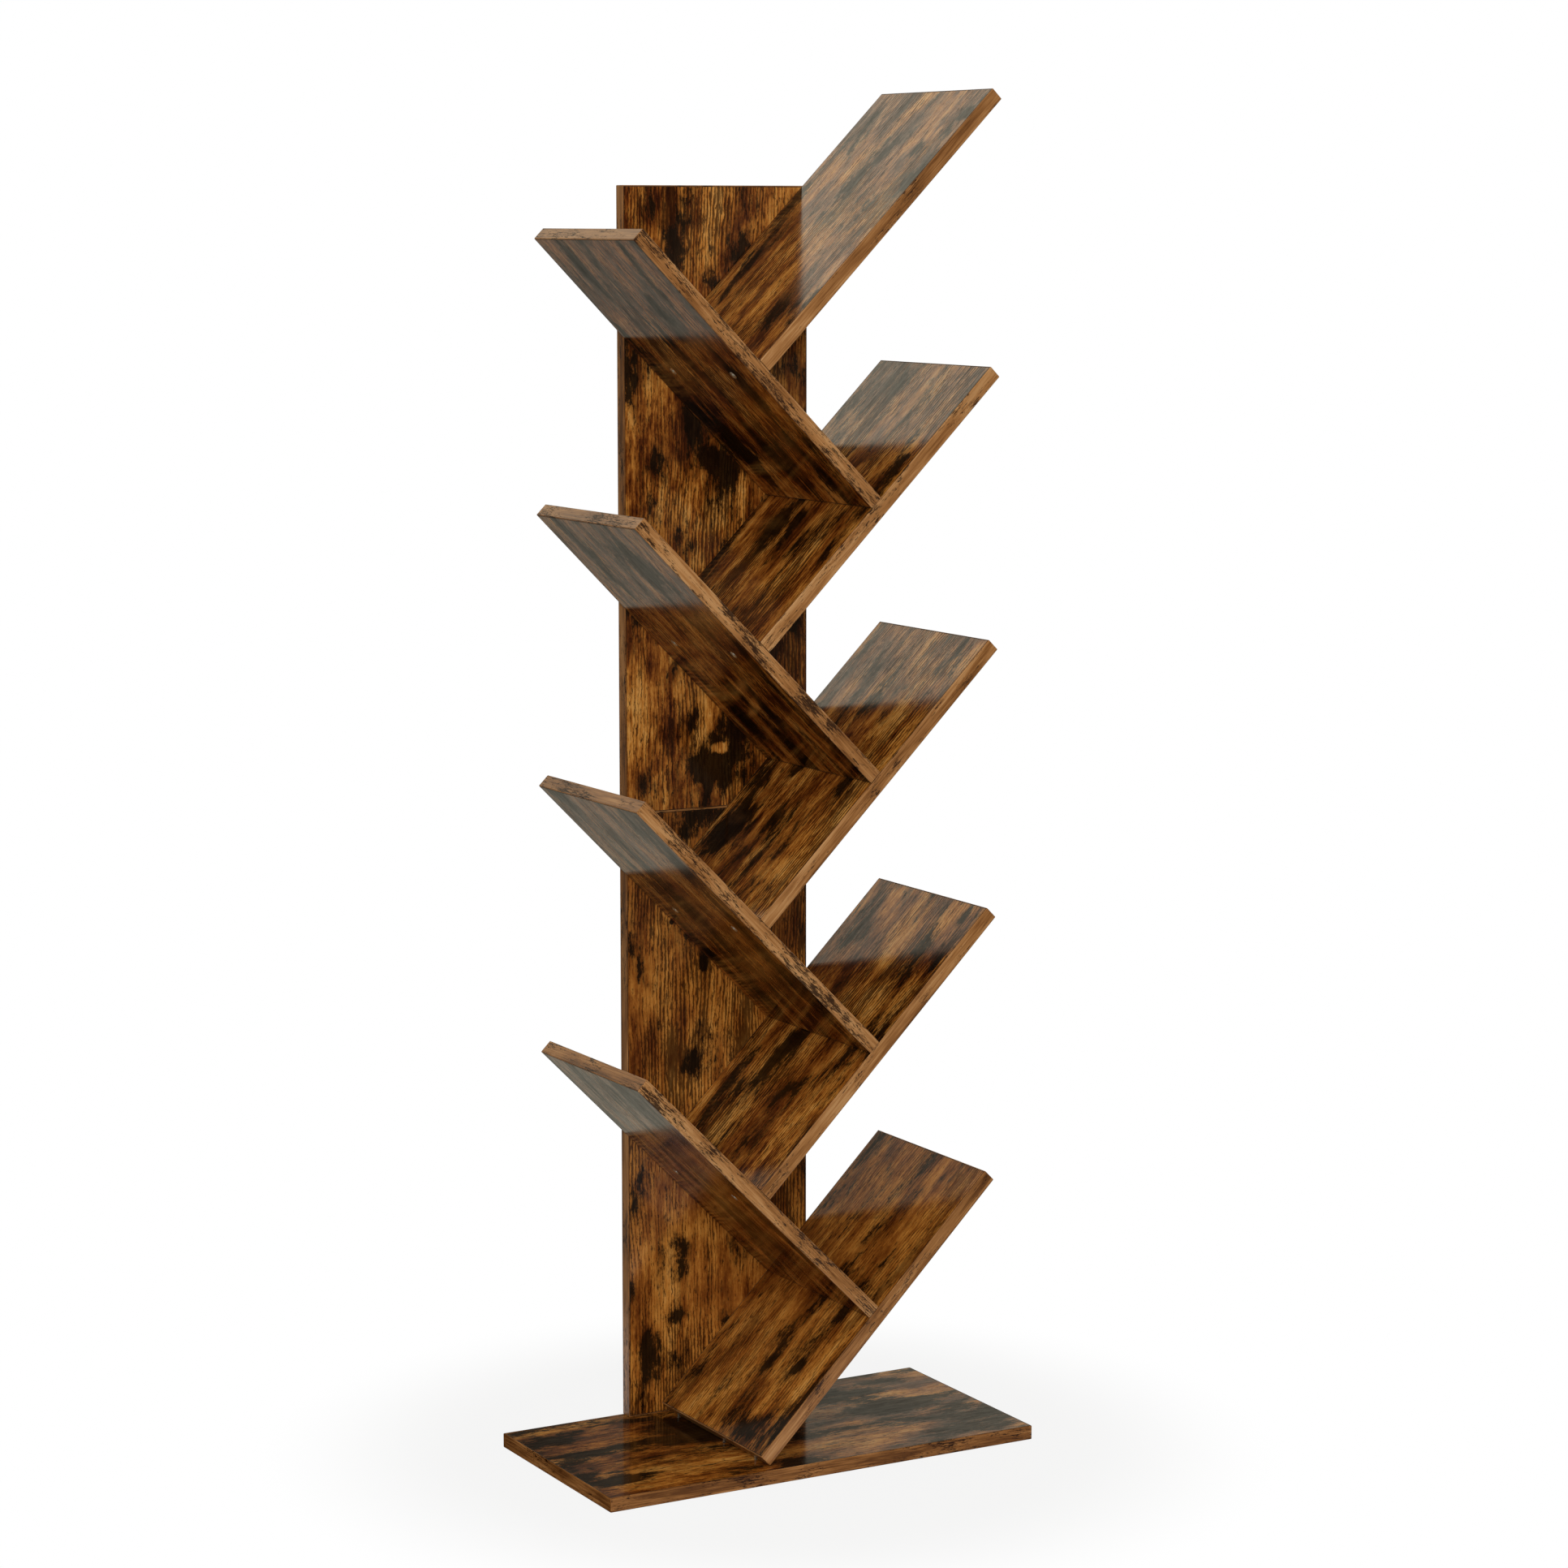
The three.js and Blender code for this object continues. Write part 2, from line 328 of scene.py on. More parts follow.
def deselect():
    bpy.ops.object.select_all(action="DESELECT")


def edit_faces(piece, wanted):
    """Enters edit mode with only those faces selected whose outward normal passes the test."""
    bpy.ops.object.mode_set(mode="EDIT")
    bpy.ops.mesh.select_mode(type="FACE")
    bpy.ops.mesh.select_all(action="DESELECT")
    bpy.ops.object.mode_set(mode="OBJECT")
    for face in piece.data.polygons:
        face.select = wanted(face)
    bpy.ops.object.mode_set(mode="EDIT")


def apply_modifier(piece, kind, **settings):
    """Adds one modifier to the active piece and applies it at once."""
    modifier = piece.modifiers.new(kind, kind)
    for name, value in settings.items():
        setattr(modifier, name, value)
    bpy.ops.object.modifier_apply(modifier=modifier.name)


def saw_board(name, node, length, depth, place, finishes):
    """One banded board: sawn to size, its arrises eased, with a fine seam round both of its faces.

    The place takes the board's own frame, X along the grain and Z out of its top face, to its seat.
    """
    deselect()
    bpy.ops.mesh.primitive_cube_add(size=1, scale=(length, depth, BOARD_THICKNESS),
                                    location=place.translation, rotation=place.to_euler())
    board = bpy.context.object
    board.name = name
    bpy.ops.object.transform_apply(location=True, rotation=True, scale=True)
    for finish in finishes:
        board.data.materials.append(finish)

    bpy.ops.object.mode_set(mode="EDIT")
    bpy.ops.mesh.select_all(action="SELECT")
    bpy.ops.mesh.bevel(offset=ARRIS, segments=2, affect="EDGES")
    bpy.ops.object.mode_set(mode="OBJECT")
    own = place.to_3x3().transposed()
    for face in board.data.polygons:
        normal = own @ face.normal
        if abs(normal.z) > SQUARE_ON:
            face.material_index = SEAM
        elif abs(normal.x) > abs(normal.y):
            face.material_index = END_BAND
        else:
            face.material_index = LONG_BAND
    edit_faces(board, lambda face: face.material_index == SEAM)
    bpy.ops.mesh.inset(thickness=SEAM_WIDTH / 2, depth=-SEAM_DEPTH, use_individual=True)
    bpy.ops.mesh.inset(thickness=SEAM_WIDTH / 2, depth=SEAM_DEPTH, use_individual=True)
    bpy.ops.object.mode_set(mode="OBJECT")
    for face in board.data.polygons:
        if face.select:
            face.material_index = FACE
    bpy.ops.object.shade_smooth_by_angle(angle=FACET_ANGLE)
    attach(board, "root")
    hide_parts(node)
    boards[node] = board


def middle(node):
    low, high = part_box(node)
    return (low + high) / 2


BASE_SCORCHES = [
    (-0.205, 0.085, 0.055, 0.045, 0.13, 1), (-0.212, -0.082, 0.030, 0.016, 0.13, 1),
    (-0.125, -0.023, 0.035, 0.020, 0.04, 1), (-0.120, -0.087, 0.050, 0.030, -0.08, 1),
    (-0.030, -0.117, 0.022, 0.014, 0.16, 1), (0.020, 0.030, 0.030, 0.030, 0.10, 1),
    (0.100, -0.020, 0.030, 0.020, -0.10, 1), (0.155, 0.005, 0.060, 0.030, 0.13, 1),
    (0.214, -0.083, 0.040, 0.026, 0.11, 1), (0.190, 0.100, 0.040, 0.020, 0.11, 1),
    (-0.090, 0.045, 0.034, 0.045, 0.17, 1), (-0.150, 0.033, 0.030, 0.028, 0.14, 1),
    (0.150, -0.095, 0.035, 0.022, 0.10, 1),
]

base_place = Matrix.Translation(middle("base_board"))
base_finishes = [
    rustic_print("base_grain", base_place, 1, BASE_SCORCHES, lines=0.4, char=0.035, flow=1.9),
    seam_finish("base_seam", base_place),
    band_print("base_long_band", base_place, 1, pale=-0.2, shine=0.1),
    band_print("base_end_band", base_place, 2, turned=True, pale=-0.25, shine=0.0),
    raw_chips,
]
saw_board("base", "base_board", BASE_LENGTH, BASE_DEPTH, base_place, base_finishes)


# Back panel: two upright boards, one above the other, which stand on the base's back edge. Their
# grain runs up the panel. Grooved beech dowels, glued into blind bores, join them end to end.

PANEL_WIDTH = 0.217
PANEL_SCORCHES = {
    "upper": [
        (0.303, -0.031, 0.025, 0.022, 0.13, -1), (0.311, -0.078, 0.022, 0.012, 0.10, -1),
        (0.138, 0.099, 0.060, 0.016, 0.05, -1), (0.086, -0.030, 0.024, 0.010, 0.20, -1),
        (0.150, -0.074, 0.032, 0.012, 0.14, -1), (0.263, -0.050, 0.030, 0.020, 0.12, -1),
        (0.042, 0.019, 0.028, 0.036, 0.20, -1), (-0.270, 0.008, 0.042, 0.034, 0.17, -1),
        (-0.262, 0.002, 0.006, 0.010, -0.30, -1), (-0.227, -0.025, 0.013, 0.011, 0.12, -1),
        (-0.281, -0.023, 0.013, 0.010, 0.14, -1), (-0.293, -0.088, 0.015, 0.014, 0.10, -1),
        (-0.250, -0.072, 0.050, 0.026, -0.14, -1), (-0.290, 0.080, 0.034, 0.020, -0.13, -1),
        (-0.050, 0.060, 0.030, 0.040, 0.13, -1),
    ],
    "lower": [
        (0.312, 0.000, 0.022, 0.050, 0.22, -1), (0.207, -0.055, 0.003, 0.003, 0.28, -1),
        (0.162, -0.017, 0.014, 0.007, 0.18, -1), (0.158, -0.008, 0.030, 0.020, 0.08, -1),
        (-0.185, -0.105, 0.013, 0.006, 0.13, -1), (-0.221, -0.047, 0.009, 0.014, 0.14, -1),
        (-0.255, -0.089, 0.024, 0.010, 0.14, -1), (-0.186, 0.030, 0.080, 0.030, 0.05, -1),
        (0.070, -0.020, 0.035, 0.050, 0.09, -1),
    ],
}
PANEL_LOOKS = {"lower": {"char": -0.025, "bold": 0.65}, "upper": {"char": 0.010, "bold": 1.05}}
GRAIN_UP = Matrix(((0, 1, 0), (0, 0, 1), (1, 0, 0))).to_4x4()

for order, (level, look) in enumerate(PANEL_LOOKS.items()):
    node = f"{level}_back_panel"
    low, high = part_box(node)
    place = Matrix.Translation((low + high) / 2) @ GRAIN_UP
    finishes = [
        rustic_print(f"{level}_panel_grain", place, 3 + order, PANEL_SCORCHES[level], **look),
        seam_finish(f"{level}_panel_seam", place),
        band_print(f"{level}_panel_long_band", place, 5 + order, pale=-0.1),
        band_print(f"{level}_panel_end_band", place, 7 + order, turned=True),
        raw_chips,
    ]
    saw_board(f"{level}_panel", node, high.z - low.z, PANEL_WIDTH, place, finishes)


# Shelves: nine boards like the base, which lean to the right and to the left in turn. Each stands
# square on the middle of the next one down. The lowest stands on the base by its lower edge.

SHELF_LENGTH, SHELF_DEPTH = 0.3797, 0.220
LEAN = math.pi / 4
SHELF_COUNTS = {"right": 5, "left": 4}
# Painted shade: a redder copy of the wood's colours for the shelves that lean left and show their
# undersides. It stands in for the redder look of the wood where it lies in shade.
SHADE_REDDENED_SHADES = [
    (0.00, (0.030, 0.004, 0.001)),
    (0.25, (0.110, 0.021, 0.002)),
    (0.50, (0.275, 0.070, 0.008)),
    (0.75, (0.470, 0.160, 0.024)),
    (1.00, (0.580, 0.240, 0.050)),
]
# The left row's wood colours are made redder as painted shade, for their shaded undersides.
ROW_LOOKS = {
    "right": {"char": 0.010, "flow": 1.9, "bold": 1.00, "shades": WOOD_SHADES},
    "left": {"char": 0.040, "flow": 2.5, "bold": 1.24, "shades": SHADE_REDDENED_SHADES},
}
CALM_LOOKS = {"right_shelf_5": {"lines": 0.7, "char": -0.002, "bold": 0.70}}
ROW_BANDS = {"right": {"cracks": 0.20, "pale": 0.0}, "left": {"cracks": 0.90, "pale": 0.10}}
PALE_BANDS = {"right_shelf_2": 0.34, "right_shelf_3": 0.1, "right_shelf_5": -0.06}
SHELF_SCORCHES = {
    "right_shelf_1": [
        (0.154, -0.099, 0.010, 0.008, 0.18, 1), (0.105, -0.062, 0.012, 0.010, 0.15, 1),
        (0.062, -0.110, 0.022, 0.016, 0.14, 1), (0.129, 0.081, 0.035, 0.022, 0.09, 1),
    ],
    "right_shelf_2": [
        (0.124, 0.074, 0.035, 0.022, 0.10, 1), (0.162, 0.035, 0.020, 0.030, 0.07, 1),
        (0.052, -0.094, 0.018, 0.007, 0.12, 1), (-0.033, 0.012, 0.014, 0.008, 0.18, 1),
        (-0.065, -0.040, 0.022, 0.016, 0.08, 1), (-0.038, 0.045, 0.036, 0.034, 0.14, 1),
    ],
    "right_shelf_3": [
        (-0.075, 0.008, 0.022, 0.012, 0.15, 1), (-0.105, 0.062, 0.038, 0.038, 0.18, 1),
        (-0.038, 0.030, 0.022, 0.020, -0.12, 1),
    ],
    "right_shelf_4": [
        (0.113, -0.098, 0.014, 0.005, 0.28, 1), (0.170, -0.085, 0.020, 0.008, 0.14, 1),
        (-0.050, 0.028, 0.045, 0.024, 0.19, 1), (-0.096, 0.067, 0.030, 0.016, 0.08, 1),
        (-0.040, -0.028, 0.024, 0.018, -0.12, 1),
    ],
    "right_shelf_5": [
        (-0.041, 0.072, 0.024, 0.009, 0.13, 1), (-0.015, -0.063, 0.013, 0.008, 0.16, 1),
        (-0.088, -0.061, 0.010, 0.010, 0.19, 1), (-0.170, -0.052, 0.015, 0.020, 0.12, 1),
        (-0.130, -0.105, 0.060, 0.003, 0.14, 1), (-0.080, -0.055, 0.100, 0.045, 0.07, 1),
    ],
    "left_shelf_1": [
        (-0.164, -0.015, 0.030, 0.030, -0.10, -1), (-0.126, 0.069, 0.035, 0.022, 0.09, -1),
        (-0.088, -0.030, 0.022, 0.015, 0.12, -1), (0.125, 0.065, 0.042, 0.024, 0.22, -1),
        (0.120, -0.006, 0.026, 0.022, 0.15, -1), (0.000, -0.076, 0.050, 0.020, 0.13, -1),
        (0.045, 0.000, 0.030, 0.026, -0.10, -1),
    ],
    "left_shelf_2": [
        (-0.125, -0.045, 0.035, 0.030, 0.12, -1), (0.068, 0.031, 0.010, 0.006, 0.18, -1),
        (0.000, 0.030, 0.050, 0.050, -0.10, -1), (0.100, -0.020, 0.024, 0.016, 0.12, -1),
        (0.120, 0.060, 0.040, 0.014, 0.12, -1),
    ],
    "left_shelf_3": [
        (-0.130, 0.030, 0.045, 0.020, 0.10, -1), (0.085, 0.090, 0.030, 0.014, 0.15, -1),
        (0.142, 0.048, 0.024, 0.014, 0.12, -1),
    ],
    "left_shelf_4": [
        (-0.140, -0.040, 0.040, 0.030, 0.10, -1), (0.156, 0.040, 0.030, 0.016, 0.12, -1),
    ],
}

for row, count in SHELF_COUNTS.items():
    side = 1 if row == "right" else -1
    for number in range(1, count + 1):
        node = f"{row}_shelf_{number}"
        place = Matrix.Translation(middle(node)) @ Matrix.Rotation(-side * LEAN, 4, "Y")
        seed = 10 + 2 * number + (side > 0)
        look = {**ROW_LOOKS[row], **CALM_LOOKS.get(node, {})}
        band_look = dict(ROW_BANDS[row])
        band_look["pale"] = PALE_BANDS.get(node, band_look["pale"])
        finishes = [
            rustic_print(f"{node}_grain", place, seed, SHELF_SCORCHES[node], **look),
            seam_finish(f"{node}_seam", place),
            band_print(f"{node}_long_band", place, seed + 20, **band_look),
            band_print(f"{node}_end_band", place, seed + 40, turned=True),
            raw_chips,
        ]
        saw_board(f"{node}_board", node, SHELF_LENGTH, SHELF_DEPTH, place, finishes)


# Panel dowels: three short grooved pegs of turned beech, glued into blind bores in the two panel
# boards, where these meet. They keep the boards in line, end to end.

DOWEL_BORE_RADIUS, DOWEL_BORE_LENGTH = 0.0043, 0.0306


def turn_shape(name, outline, sides=32):
    """A closed turned shape about Z, from the radius and height of each step of its outline."""
    deselect()
    (radius, height), *steps = outline
    bpy.ops.mesh.primitive_circle_add(vertices=sides, radius=radius, fill_type="NGON",
                                      location=(0, 0, height))
    shape = bpy.context.object
    shape.name = name
    bpy.ops.object.transform_apply(location=True, rotation=True, scale=True)
    bpy.ops.object.mode_set(mode="EDIT")
    bpy.ops.mesh.select_all(action="SELECT")
    for next_radius, next_height in steps:
        rise = {"value": (0, 0, next_height - height)}
        bpy.ops.mesh.extrude_region_move(TRANSFORM_OT_translate=rise)
        ratio = next_radius / radius
        bpy.ops.transform.resize(value=(ratio, ratio, 1), center_override=(0, 0, next_height))
        radius, height = next_radius, next_height
    bpy.ops.mesh.select_all(action="SELECT")
    bpy.ops.mesh.normals_make_consistent(inside=False)
    bpy.ops.object.mode_set(mode="OBJECT")
    return shape


def copy_to(model, name, place):
    """A copy of a model with its own mesh, moved to its place, with its origin left at nought."""
    deselect()
    model.select_set(True)
    bpy.context.view_layer.objects.active = model
    bpy.ops.object.duplicate(linked=False)
    copied = bpy.context.object
    copied.name = name
    copied.matrix_world = place
    bpy.ops.object.transform_apply(location=True, rotation=True, scale=True)
    return copied


def drill(bore, places):
    """Cuts the bore into every board that holds one of the fasteners, then does away with it."""
    for finish in boards["base_board"].data.materials:
        bore.data.materials.append(finish)
    for face in bore.data.polygons:
        face.material_index = CORE
    cutters = [(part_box(node), copy_to(bore, "bore", place)) for node, place in places.items()]
    for node, board in boards.items():
        low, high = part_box(node)
        reaching = bpy.data.collections.new("bores")
        for (start, end), cutter in cutters:
            if all(start[axis] < high[axis] and end[axis] > low[axis] for axis in range(3)):
                reaching.objects.link(cutter)
        if reaching.objects:
            deselect()
            board.select_set(True)
            bpy.context.view_layer.objects.active = board
            apply_modifier(board, "BOOLEAN", operand_type="COLLECTION", collection=reaching,
                           operation="DIFFERENCE", solver="EXACT")
            bpy.ops.object.shade_smooth_by_angle(angle=FACET_ANGLE)
        bpy.data.collections.remove(reaching)
    for _, cutter in cutters:
        bpy.data.objects.remove(cutter)
    bpy.data.objects.remove(bore)


def beech_finish(name):
    """Turned beech: pale pinkish brown, with the short dark flecks of its rays along the grain."""
    finish, grain = new_finish(name)
    fibres = grain.stretched((1500, 1500, 60)).cloud(3, 0.6)
    flecks = 1.0 - grain.stretched((2200, 2200, 420)).speck().rise(0.1, 0.35)
    colour = fibres.ramp([(0.3, (0.42, 0.25, 0.13)), (0.7, (0.60, 0.40, 0.22))])
    colour = (flecks * 0.5).tint(colour, (0.22, 0.11, 0.05, 1))
    coat(grain, colour, 0.6 + fibres * 0.15, fibres - flecks, 0.00005)
    return finish


beech = beech_finish("turned_beech")
dowel_places = {}
for where in ("left", "middle", "right"):
    node = f"panel_dowel_{where}"
    dowel_places[node] = Matrix.Translation(middle(node))
    for slot in bpy.data.objects[node].material_slots:
        slot.material = beech
half = DOWEL_BORE_LENGTH / 2
dowel_bore = turn_shape("dowel_bore", [(DOWEL_BORE_RADIUS, -half), (DOWEL_BORE_RADIUS, half)])
drill(dowel_bore, dowel_places)


# Connector screws: zinc plated steel, with a countersunk head, a cross recess and a coarse thread.
# They are driven through a drilled board into the edge of the next: shelf to shelf, panel to
# shelf, and base to panel. Their heads lie just below the surface.

BORE_GAP, BORE_RUN_OUT = 0.0003, 0.0024
HEAD_RIM, HEAD_ROUND = 0.0005, 0.0004
RECESS_SPAN, RECESS_WIDTH, RECESS_DEPTH, RECESS_TAPER = 0.0052, 0.0012, 0.0018, 0.45
PIT_RADIUS, PIT_FLOOR, PIT_DEPTH = 0.0017, 0.0007, RECESS_DEPTH * 0.8
THREAD_STEPS, THREAD_ROOT, THREAD_SHOULDER = 12, 0.0002, 0.0005
THREAD_WIDTH, THREAD_PEAK, THREAD_REACH = 0.7, 0.35, 0.6
TIP_WIDTH = 0.2
SLIVER = 0.000002
SCREW_FACET_ANGLE = math.radians(30)
ROLL = math.radians(137.5)


def screw_place(node, direction, length, roll):
    """The seat of a driven screw: its own Z runs from the middle of its head to its tip."""
    low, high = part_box(node)
    tip = (low + high) / 2
    for axis, part in enumerate(direction):
        if part:
            tip[axis] = high[axis] if part > 0 else low[axis]
    head = tip - length * direction
    turned = direction.to_track_quat("Z", "Y").to_matrix().to_4x4()
    return Matrix.Translation(head) @ turned @ Matrix.Rotation(roll, 4, "Z")


def make_screw(name, length, head, neck, core, crest, pitch, thread_start, tip):
    """A countersunk screw along Z: turned blank, helical thread joined on, cross recess cut out."""
    cone = HEAD_RIM + head - neck
    ease = HEAD_ROUND * 0.3
    blank = turn_shape(name, [
        (PIT_FLOOR, PIT_DEPTH), (PIT_RADIUS, 0), (head - HEAD_ROUND, 0),
        (head - ease, ease), (head, HEAD_ROUND), (head, HEAD_RIM),
        (neck, cone), (neck, thread_start), (core, thread_start + THREAD_SHOULDER),
        (core, length - tip), (core * TIP_WIDTH, length),
    ])

    deselect()
    bpy.ops.mesh.primitive_circle_add(vertices=3, radius=1)
    thread = bpy.context.object
    root = core - THREAD_ROOT
    corners = [(root, thread_start), (root, thread_start + pitch * THREAD_WIDTH),
               (crest, thread_start + pitch * THREAD_PEAK)]
    for vertex, (radius, height) in zip(thread.data.vertices, corners):
        vertex.co = (radius, 0, height)
    turns = int((length - tip * THREAD_REACH - thread_start) / pitch)
    apply_modifier(thread, "SCREW", axis="Z", angle=math.tau, screw_offset=pitch,
                   iterations=turns, steps=THREAD_STEPS, render_steps=THREAD_STEPS)
    bpy.ops.object.mode_set(mode="EDIT")
    bpy.ops.mesh.select_all(action="SELECT")
    bpy.ops.mesh.fill_holes(sides=3)
    bpy.ops.mesh.select_all(action="SELECT")
    bpy.ops.mesh.normals_make_consistent(inside=False)
    bpy.ops.object.mode_set(mode="OBJECT")

    fins = []
    for turn in (0, math.pi / 2):
        deselect()
        bpy.ops.mesh.primitive_cube_add(size=1, location=(0, 0, 0), rotation=(0, 0, turn),
                                        scale=(RECESS_SPAN, RECESS_WIDTH, 2 * RECESS_DEPTH))
        fin = bpy.context.object
        bpy.ops.object.transform_apply(location=True, rotation=True, scale=True)
        edit_faces(fin, lambda face: face.normal.z > SQUARE_ON)
        bpy.ops.transform.resize(value=(RECESS_TAPER, RECESS_TAPER, 1),
                                 center_override=(0, 0, RECESS_DEPTH))
        bpy.ops.object.mode_set(mode="OBJECT")
        fins.append(fin)

    deselect()
    blank.select_set(True)
    bpy.context.view_layer.objects.active = blank
    apply_modifier(blank, "BOOLEAN", object=thread, operation="UNION", solver="EXACT")
    for fin in fins:
        apply_modifier(blank, "BOOLEAN", object=fin, operation="DIFFERENCE", solver="EXACT")
    bpy.ops.object.mode_set(mode="EDIT")
    bpy.ops.mesh.select_all(action="SELECT")
    bpy.ops.mesh.remove_doubles(threshold=SLIVER)
    bpy.ops.mesh.dissolve_degenerate(threshold=SLIVER)
    bpy.ops.object.mode_set(mode="OBJECT")
    bpy.ops.object.shade_smooth_by_angle(angle=SCREW_FACET_ANGLE)
    for spent in (thread, *fins):
        bpy.data.objects.remove(spent)
    return blank


def make_bore(name, length, head, shank, tip):
    """The bore of a screw: its form, one gap wider all round, and run out past the board's face."""
    wide, narrow = head + BORE_GAP, shank + BORE_GAP
    return turn_shape(name, [
        (wide, -BORE_RUN_OUT), (wide, HEAD_RIM + BORE_GAP / 2),
        (narrow, HEAD_RIM + BORE_GAP / 2 + head - shank), (narrow, length - tip),
        (BORE_GAP, length + BORE_GAP),
    ])


def drive(model, places):
    """Sets a copy of the screw in each of its places."""
    model.data.materials.append(zinc)
    for node, place in places.items():
        screw = copy_to(model, f"{node}_piece", place)
        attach(screw, "root")
        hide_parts(node)
    bpy.data.objects.remove(model)


def zinc_finish(name):
    """Bright zinc plate on steel: faintly mottled, with fine wear and a soft sheen."""
    finish, point = new_finish(name)
    mottle = point.stretched((900, 900, 900)).cloud(4, 0.6)
    wear = point.stretched((5000, 5000, 1200)).cloud(3, 0.7)
    colour = mottle.ramp([(0.3, (0.62, 0.62, 0.60)), (0.7, (0.84, 0.84, 0.82))])
    coat(point, colour, 0.20 + mottle * 0.10 + wear * 0.08, wear, 0.00001, metallic=1.0)
    return finish


SCREW_LENGTH, SCREW_HEAD, SCREW_CREST, SCREW_TIP = 0.0400, 0.0043, 0.0025, 0.0050

zinc = zinc_finish("bright_zinc_plate")
connector_places = {}
for node in sorted(frame["nodes"]):
    if "_screw_" not in node or node.startswith("foot"):
        continue
    if "_joint_screw_" in node:
        direction = Vector((-1 if node.startswith("right") else 1, 0, 1)).normalized()
    elif node.startswith("base"):
        direction = Vector((0, 0, 1))
    else:
        direction = Vector((0, -1, 0))
    roll = len(connector_places) * ROLL
    connector_places[node] = screw_place(node, direction, SCREW_LENGTH, roll)
drill(make_bore("screw_bore", SCREW_LENGTH, SCREW_HEAD, SCREW_CREST, SCREW_TIP), connector_places)
connector = make_screw("connector_screw", SCREW_LENGTH, SCREW_HEAD, neck=0.0022, core=0.0018,
                       crest=SCREW_CREST, pitch=0.0026, thread_start=0.0095, tip=SCREW_TIP)
drive(connector, connector_places)


# Foot screws: three thinner zinc plated screws, threaded nearly to the head. They go up through the
# base, across the wedge gap, into the lower edge of the lowest shelf, and hold its foot down.

FOOT_HEAD, FOOT_CREST, FOOT_TIP = 0.0035, 0.0018, 0.0035
FOOT_ROLL = 0.4

foot_places = {}
for where in ("rear", "middle", "front"):
    node = f"foot_screw_{where}"
    low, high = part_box(node)
    foot_length = high.z - low.z
    roll = len(foot_places) * ROLL + FOOT_ROLL
    foot_places[node] = screw_place(node, Vector((0, 0, 1)), foot_length, roll)
drill(make_bore("foot_bore", foot_length, FOOT_HEAD, FOOT_CREST, FOOT_TIP), foot_places)
foot_screw = make_screw("foot_screw", foot_length, FOOT_HEAD, neck=0.0015, core=0.0012,
                        crest=FOOT_CREST, pitch=0.0018, thread_start=0.0045, tip=FOOT_TIP)
drive(foot_screw, foot_places)


# The studio: a white floor, clear from below, that keeps a faint shadow of the object, broad soft
# light from above and from the front left, and a camera as high as the upper shelves, tilted down.
# What the print's clear film mirrors is set on its own: a bright screen, a dimmer wall and ground.

CAMERA_PLACE = (-1.9948, -3.5822, 1.2834)
CAMERA_TURN, CAMERA_TILT = math.radians(29.3423), math.radians(8.0542)
CAMERA_LENS, CAMERA_SENSOR = 92.127, 36.0
FLOOR_RADIUS, FLOOR_GREY = 0.55, 0.35
SHADOW_RADIUS, SHADOW_WHITE = 0.3, 0.88
SCREEN_EDGE, GROUND_LEVEL, WALL_LEVEL, ROOM_LEVEL = 0.15, 0.31, 0.44, 0.03
SOFT_LOW, SOFT_HIGH = 0.10, 0.47
LIGHT_TINT = (1.35, 1.27, 1.0, 1)
KEY_SIZE, KEY_POWER = 2.2, 190
KEY_PLACE, KEY_AIM = Vector((-2.3, -4.0, 2.0)), Vector((0, 0, 0.7))


def ray_kinds(start):
    """Whether a ray comes from the camera, off a glossy surface, or through a clear one."""
    kinds = ("Camera", "Glossy", "Transmission")
    return [start.node("LightPath", {}, {}, f"Is {kind} Ray") for kind in kinds]


camera_data = bpy.data.cameras.new("camera")
camera_data.lens = CAMERA_LENS
camera_data.sensor_width = CAMERA_SENSOR
camera = bpy.data.objects.new("camera", camera_data)
camera.location = CAMERA_PLACE
camera.rotation_euler = (math.pi / 2 - CAMERA_TILT, 0, -CAMERA_TURN)
bpy.context.scene.collection.objects.link(camera)
bpy.context.scene.camera = camera

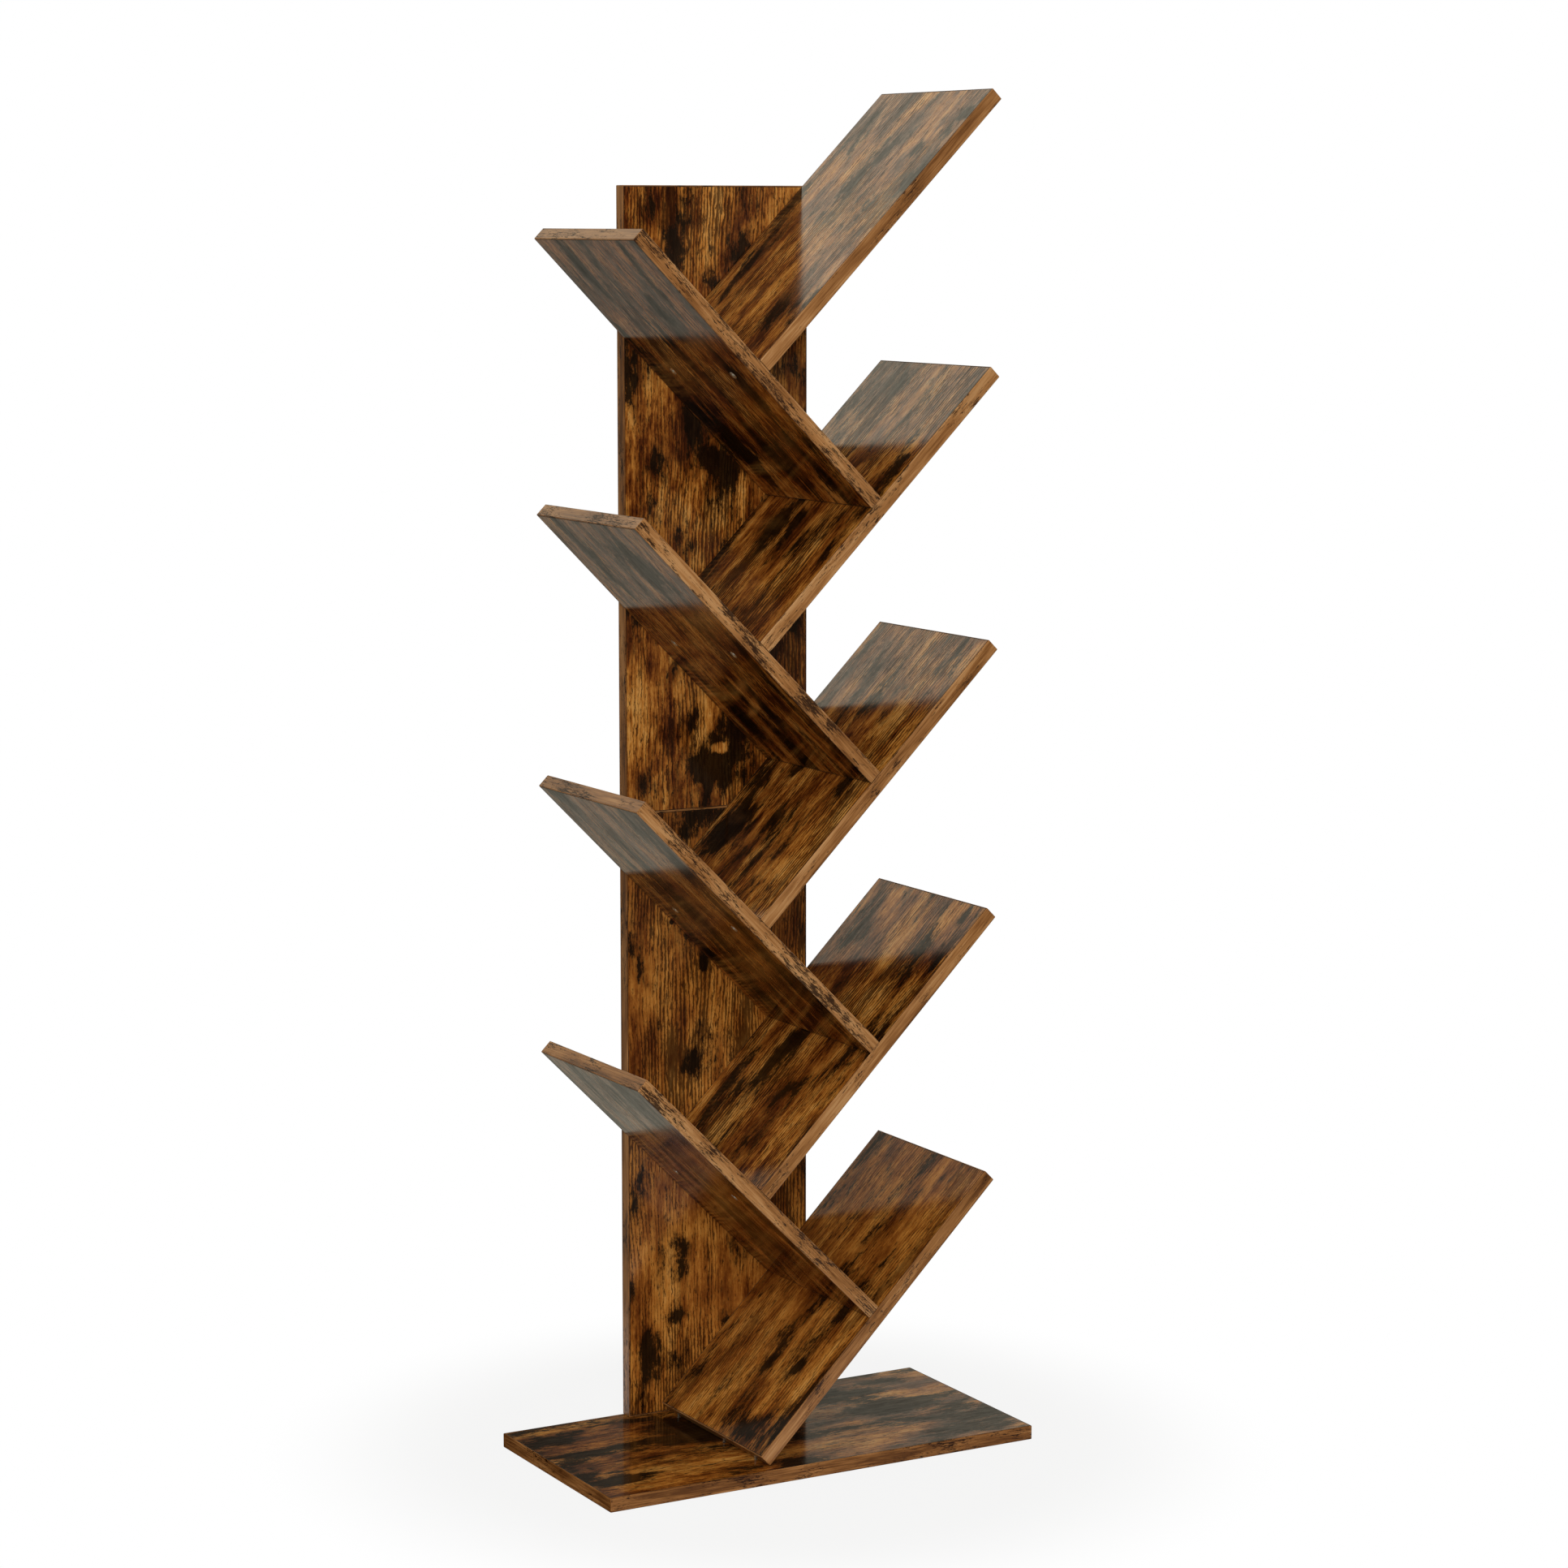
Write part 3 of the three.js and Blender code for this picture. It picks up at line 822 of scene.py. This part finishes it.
deselect()
bpy.ops.mesh.primitive_circle_add(vertices=96, radius=FLOOR_RADIUS, fill_type="NGON")
floor = bpy.context.object
floor.name = "floor"
floor_finish, point = new_finish("white_floor")
reach = point.node("VectorMath", {"operation": "LENGTH"}, {"Vector": point}, "Value")
ray, glossy, through = ray_kinds(point)
seen = ray.larger(glossy).larger(through)
grey = (FLOOR_GREY, FLOOR_GREY, FLOOR_GREY, 1)
diffuse = point.node("BsdfDiffuse", {}, {"Color": grey}, "BSDF")
glow = point.node("Emission", {}, {"Color": (1, 1, 1, 1), "Strength": 1.0}, "Emission")
faded = reach.rise(SHADOW_RADIUS, FLOOR_RADIUS)
whiteness = seen * (SHADOW_WHITE + faded * (1.0 - SHADOW_WHITE))
above = point.node("MixShader", {}, {"Fac": whiteness, "Shader": diffuse, "Shader_001": glow},
                   "Shader")
clear = point.node("BsdfTransparent", {}, {}, "BSDF")
beneath = point.node("NewGeometry", {}, {}, "Backfacing")
shader = point.node("MixShader", {}, {"Fac": beneath, "Shader": above, "Shader_001": clear},
                    "Shader")
point.node("OutputMaterial", {}, {"Surface": shader})
floor.data.materials.append(floor_finish)

world = bpy.data.worlds.new("studio")
bpy.context.scene.world = world
world.use_nodes = True
world.node_tree.nodes.clear()
start = Wire(world.node_tree)
toward = start.node("TexCoord", {}, {}, "Generated")
height, aside = toward.axis("Z"), toward.axis("X")
ray, glossy, through = ray_kinds(start)
screen = (height - aside).rise(-0.2, 0.6)
screen = screen * (SCREEN_EDGE + aside.rise(-0.30, -0.10) * (1.0 - SCREEN_EDGE))
ground = (0.0 - height).rise(0.15, 0.35) * GROUND_LEVEL
wall = aside.rise(0.37, 0.55) * height.rise(-0.05, 0.15) * WALL_LEVEL
mirrored = screen.larger(ground).larger(wall).larger(ROOM_LEVEL)
soft = SOFT_LOW + height.rise(0.2, 0.6) * (SOFT_HIGH - SOFT_LOW)
level = glossy * mirrored + (1.0 - glossy) * soft
colour = level.tint((0, 0, 0, 1), LIGHT_TINT)
colour = ray.larger(through).tint(colour, (1, 1, 1, 1))
shader = start.node("Background", {}, {"Color": colour, "Strength": 1.0}, "Background")
start.node("OutputWorld", {}, {"Surface": shader})

key_data = bpy.data.lights.new("front_softbox", "AREA")
key_data.shape = "RECTANGLE"
key_data.size = KEY_SIZE
key_data.size_y = KEY_SIZE
key_data.energy = KEY_POWER
key = bpy.data.objects.new("front_softbox", key_data)
key.location = KEY_PLACE
key.rotation_euler = (KEY_AIM - KEY_PLACE).to_track_quat("-Z", "Y").to_euler()
key.visible_glossy = False
bpy.context.scene.collection.objects.link(key)

bpy.context.scene.view_settings.view_transform = "Standard"
